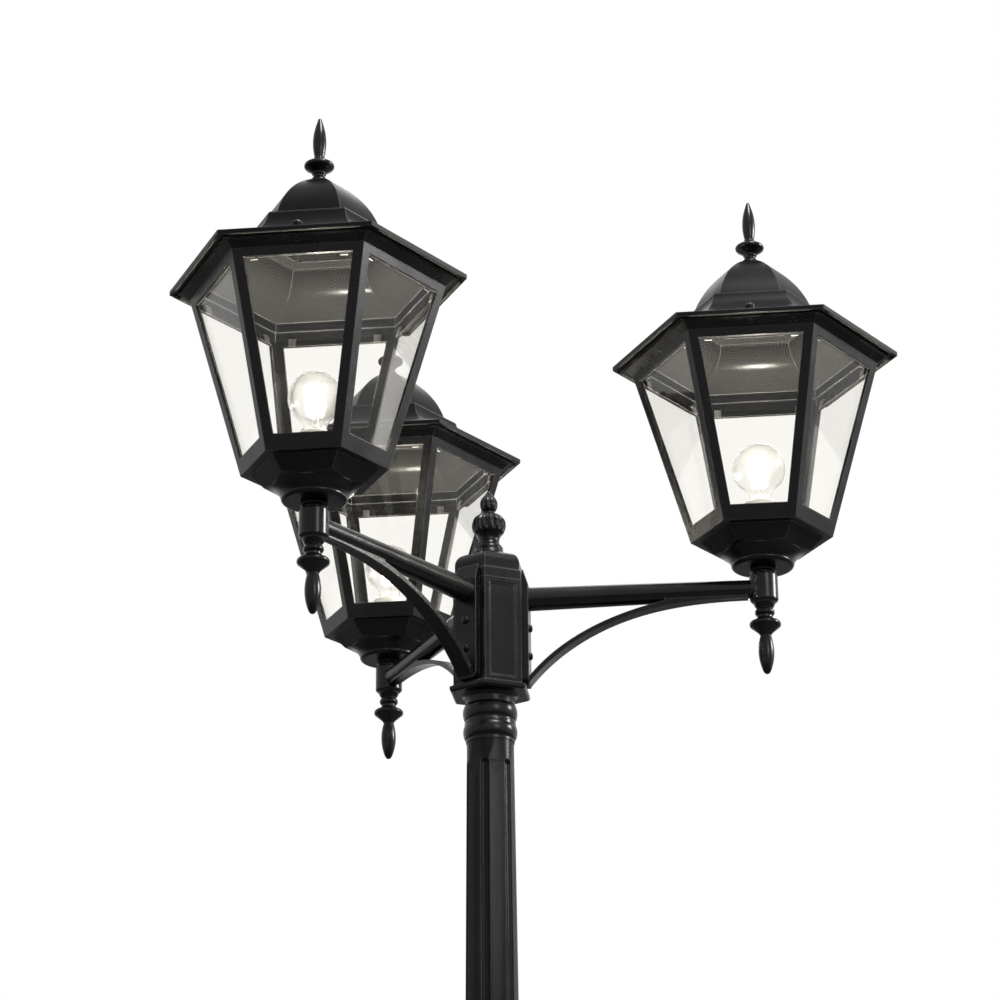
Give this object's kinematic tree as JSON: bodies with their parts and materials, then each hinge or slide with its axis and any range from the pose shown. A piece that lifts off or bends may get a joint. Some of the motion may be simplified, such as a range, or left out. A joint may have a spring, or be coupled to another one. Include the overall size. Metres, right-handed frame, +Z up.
{
  "type": "triple head lamp post",
  "caption": "Fluted garden lamp post with a six-sided hub, braced arms and hexagonal glazed lanterns whose roofs lift off",
  "frame": {"origin": "centre of the base plate's underside, on the post's axis", "axes": "+Z up the post, +X along the first arm; the other arms are 120 and 240 degrees round +Z from it"},
  "size_m": [0.793, 0.821, 2.543],
  "materials": {
    "black_coat": "cast metal under satin black powder coat",
    "clear_glass": "clear float glass",
    "zinc_clip": "dull zinc plate",
    "porcelain": "glazed porcelain",
    "nickel_cap": "nickel-plated brass",
    "lit_glass": "clear bulb, shown lit"
  },
  "bodies": {
    "post": {"head_1_frame": "black_coat", "head_1_panes": "clear_glass", "head_1_cup": "black_coat", "head_1_neck": "black_coat", "head_1_stem": "zinc_clip", "head_1_socket": "black_coat", "head_1_drop_finial": "black_coat", "head_1_lampholder": "porcelain", "arm_1_plate": "black_coat", "arm_1_tube": "black_coat", "arm_1_brace": "black_coat", "head_2_frame": "black_coat", "head_2_panes": "clear_glass", "head_2_cup": "black_coat", "head_2_neck": "black_coat", "head_2_stem": "zinc_clip", "head_2_socket": "black_coat", "head_2_drop_finial": "black_coat", "head_2_lampholder": "porcelain", "arm_2_plate": "black_coat", "arm_2_tube": "black_coat", "arm_2_brace": "black_coat", "head_3_frame": "black_coat", "head_3_panes": "clear_glass", "head_3_cup": "black_coat", "head_3_neck": "black_coat", "head_3_stem": "zinc_clip", "head_3_socket": "black_coat", "head_3_drop_finial": "black_coat", "head_3_lampholder": "porcelain", "arm_3_plate": "black_coat", "arm_3_tube": "black_coat", "arm_3_brace": "black_coat", "hub_body": "black_coat", "hub_cap": "black_coat", "hub_finial": "black_coat", "arm_bolts": "black_coat", "shaft": "black_coat", "shaft_collar": "black_coat", "base_plate": "black_coat", "pedestal": "black_coat", "pedestal_bell": "black_coat", "root_tube": "black_coat", "pane_clips": "zinc_clip"},
    "roof_1": {"head_1_roof": "black_coat", "head_1_roof_finial": "black_coat", "head_1_roof_fasteners": "black_coat"},
    "bulb_1": {"head_1_bulb_cap": "nickel_cap", "head_1_bulb_glass": "lit_glass"},
    "roof_2": {"head_2_roof": "black_coat", "head_2_roof_finial": "black_coat", "head_2_roof_fasteners": "black_coat"},
    "bulb_2": {"head_2_bulb_cap": "nickel_cap", "head_2_bulb_glass": "lit_glass"},
    "roof_3": {"head_3_roof": "black_coat", "head_3_roof_finial": "black_coat", "head_3_roof_fasteners": "black_coat"},
    "bulb_3": {"head_3_bulb_cap": "nickel_cap", "head_3_bulb_glass": "lit_glass"}
  },
  "joints": [
    {"name": "roof_1_lift", "type": "slide", "parent": "post", "child": "roof_1", "axis": [0, 0, 1], "range_m": [0, 0.22]},
    {"name": "bulb_1_out", "type": "slide", "parent": "post", "child": "bulb_1", "axis": [0, 0, 1], "range_m": [0, 0.028]},
    {"name": "roof_2_lift", "type": "slide", "parent": "post", "child": "roof_2", "axis": [0, 0, 1], "range_m": [0, 0.22]},
    {"name": "bulb_2_out", "type": "slide", "parent": "post", "child": "bulb_2", "axis": [0, 0, 1], "range_m": [0, 0.028]},
    {"name": "roof_3_lift", "type": "slide", "parent": "post", "child": "roof_3", "axis": [0, 0, 1], "range_m": [0, 0.22]},
    {"name": "bulb_3_out", "type": "slide", "parent": "post", "child": "bulb_3", "axis": [0, 0, 1], "range_m": [0, 0.028]}
  ]
}
